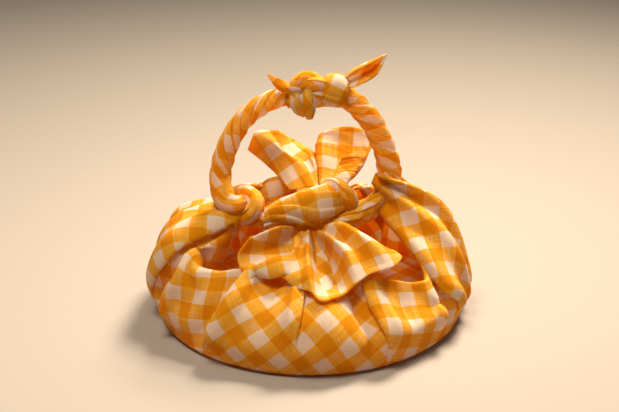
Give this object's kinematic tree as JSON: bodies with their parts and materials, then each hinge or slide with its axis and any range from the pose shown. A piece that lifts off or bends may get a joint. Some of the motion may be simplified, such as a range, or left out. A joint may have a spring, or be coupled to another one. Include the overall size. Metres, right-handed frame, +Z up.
{
  "type": "furoshiki wrap",
  "caption": "Square checked cloth tied into a low round empty bag, with a centre knot, front fan, back ears and a twisted, knotted handle.",
  "frame": {"origin": "centre of the bag's footprint, on the surface that it stands on", "axes": "+X to the wrap's right, +Y to its back (the ears' side), +Z up"},
  "size_m": [0.2128, 0.2098, 0.1778],
  "materials": {
    "checked_cloth": "plain-woven cotton and linen, yellow and white checks"
  },
  "bodies": {
    "root": {"furoshiki_cloth": "checked_cloth"}
  },
  "joints": []
}
